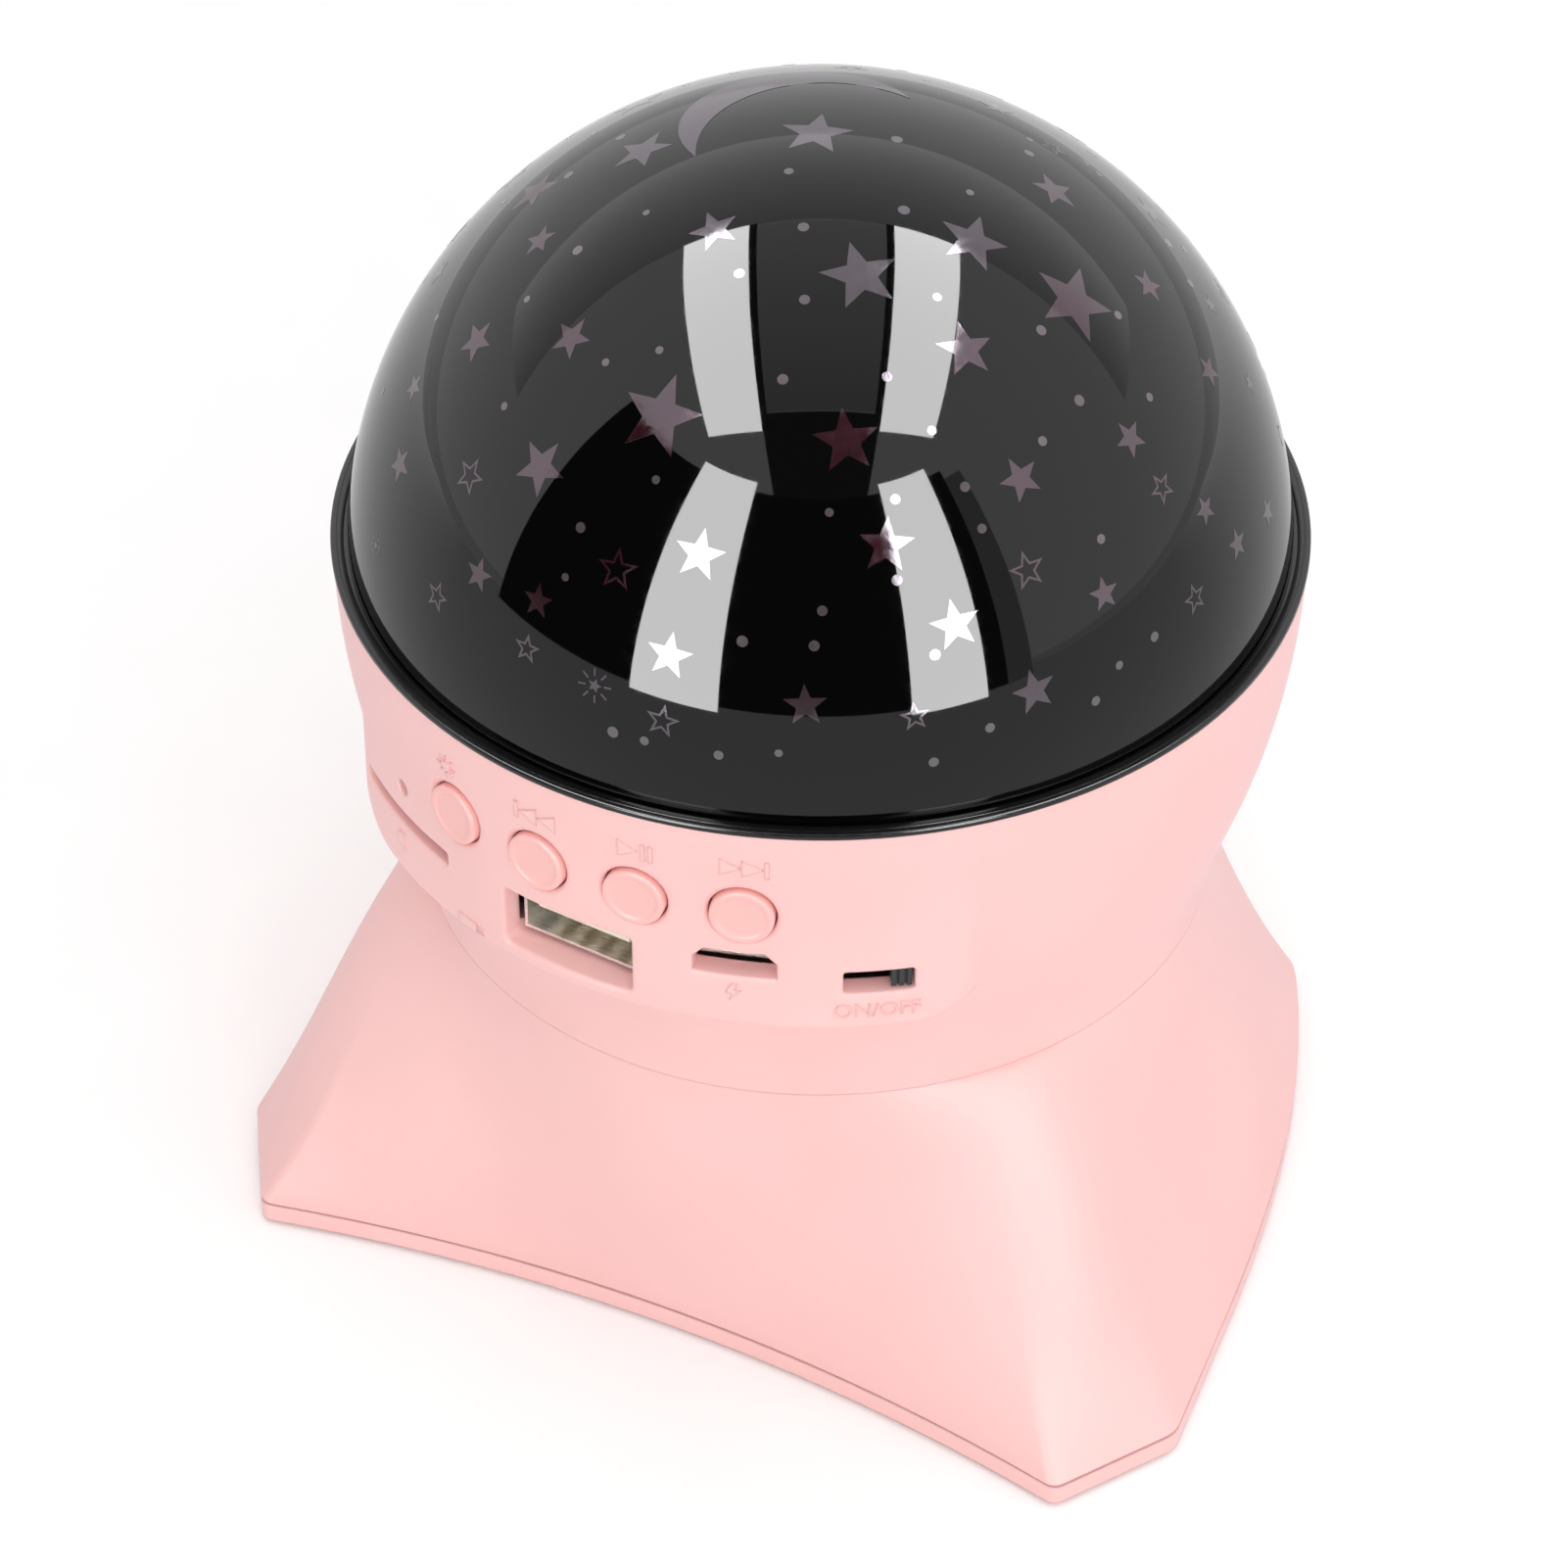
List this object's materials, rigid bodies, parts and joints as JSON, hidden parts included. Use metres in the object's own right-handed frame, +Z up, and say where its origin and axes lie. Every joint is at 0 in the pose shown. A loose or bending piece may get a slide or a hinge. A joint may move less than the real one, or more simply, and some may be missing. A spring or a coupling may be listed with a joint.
{
  "type": "star night light projector",
  "caption": "Domed bedside night light that throws stars on the walls, with a music player and ports in its bowl, on a flared pedestal.",
  "frame": {"origin": "middle of the resting face, on the dome's axis, at the underside of the feet", "axes": "+Z up along the dome's axis, -Y out of the control panel, +X to the right of someone facing the panel"},
  "size_m": [0.1114, 0.1, 0.1312],
  "materials": {
    "pink_shell": "soft matte moulded pink plastic",
    "black_dome": "polished black plastic with pale star windows",
    "black_bezel": "polished black plastic",
    "rubber_foot": "soft translucent rubber",
    "screw_steel": "zinc-plated steel",
    "white_plastic": "white moulded plastic",
    "white_board": "white solder mask",
    "led_phosphor": "yellow phosphor in white packages",
    "indicator_lens": "clear red epoxy",
    "green_board": "green solder mask",
    "black_plastic": "fine-grained black plastic",
    "knob_plastic": "dark grey ribbed plastic",
    "plated_steel": "nickel-plated sheet steel",
    "cream_plastic": "cream moulded plastic",
    "gold_contact": "gold-plated contacts",
    "capacitor_can": "dark sleeved aluminium cans",
    "battery_sleeve": "blue shrink sleeve over a metal can",
    "ferrite": "bare ferrite with a plated cap",
    "paper_cone": "pressed black paper",
    "foam": "soft foam rubber",
    "red_wire": "soft insulation",
    "black_wire": "soft insulation",
    "yellow_wire": "soft insulation"
  },
  "bodies": {
    "lamp_base": {"upper_housing": "pink_shell", "bezel_ring": "black_bezel", "pedestal_skirt": "pink_shell", "base_plate": "pink_shell", "rubber_feet": "rubber_foot", "base_screws": "screw_steel", "neck_screws": "screw_steel", "lamp_deck": "white_plastic", "deck_screws": "screw_steel", "lamp_board": "white_board", "lamp_leds": "led_phosphor", "main_board": "green_board", "board_screws": "screw_steel", "led_switch_body": "black_plastic", "previous_switch_body": "black_plastic", "play_switch_body": "black_plastic", "next_switch_body": "black_plastic", "usb_socket_shell": "plated_steel", "usb_socket_tongue": "cream_plastic", "usb_contacts": "gold_contact", "charging_port_shell": "plated_steel", "charging_port_tongue": "black_plastic", "card_socket": "plated_steel", "slide_switch_body": "plated_steel", "player_chip": "black_plastic", "board_capacitors": "capacitor_can", "indicator_led": "indicator_lens", "battery_cell": "battery_sleeve", "battery_cradle": "black_plastic", "speaker_frame": "black_plastic", "speaker_magnet": "ferrite", "speaker_cone": "paper_cone", "speaker_surround": "foam", "speaker_dust_cap": "paper_cone", "speaker_gasket": "foam", "speaker_screws": "screw_steel", "battery_wires": "red_wire", "speaker_wires": "black_wire", "lamp_wires": "yellow_wire"},
    "dome": {"dome_cover": "black_dome"},
    "led_key": {"led_button": "pink_shell", "led_plunger": "white_plastic"},
    "previous_key": {"previous_button": "pink_shell", "previous_plunger": "white_plastic"},
    "play_key": {"play_button": "pink_shell", "play_plunger": "white_plastic"},
    "next_key": {"next_button": "pink_shell", "next_plunger": "white_plastic"},
    "power_slider": {"switch_knob": "knob_plastic"}
  },
  "joints": [
    {"name": "dome_lift", "type": "slide", "parent": "lamp_base", "child": "dome", "axis": [0, 0, 1], "range_m": [0, 0.06]},
    {"name": "led_press", "type": "slide", "parent": "lamp_base", "child": "led_key", "axis": [0.3543, 0.9351, 0], "range_m": [0, 0.0005], "stiffness_N_per_m": 400, "springref_m": -0.001},
    {"name": "previous_press", "type": "slide", "parent": "lamp_base", "child": "previous_key", "axis": [0.14, 0.9901, 0], "range_m": [0, 0.0005], "stiffness_N_per_m": 400, "springref_m": -0.001},
    {"name": "play_press", "type": "slide", "parent": "lamp_base", "child": "play_key", "axis": [-0.0811, 0.9967, 0], "range_m": [0, 0.0005], "stiffness_N_per_m": 400, "springref_m": -0.001},
    {"name": "next_press", "type": "slide", "parent": "lamp_base", "child": "next_key", "axis": [-0.2982, 0.9545, 0], "range_m": [0, 0.0005], "stiffness_N_per_m": 400, "springref_m": -0.001},
    {"name": "power_slide", "type": "slide", "parent": "lamp_base", "child": "power_slider", "axis": [-0.8387, -0.5446, 0], "range_m": [0, 0.004]}
  ]
}
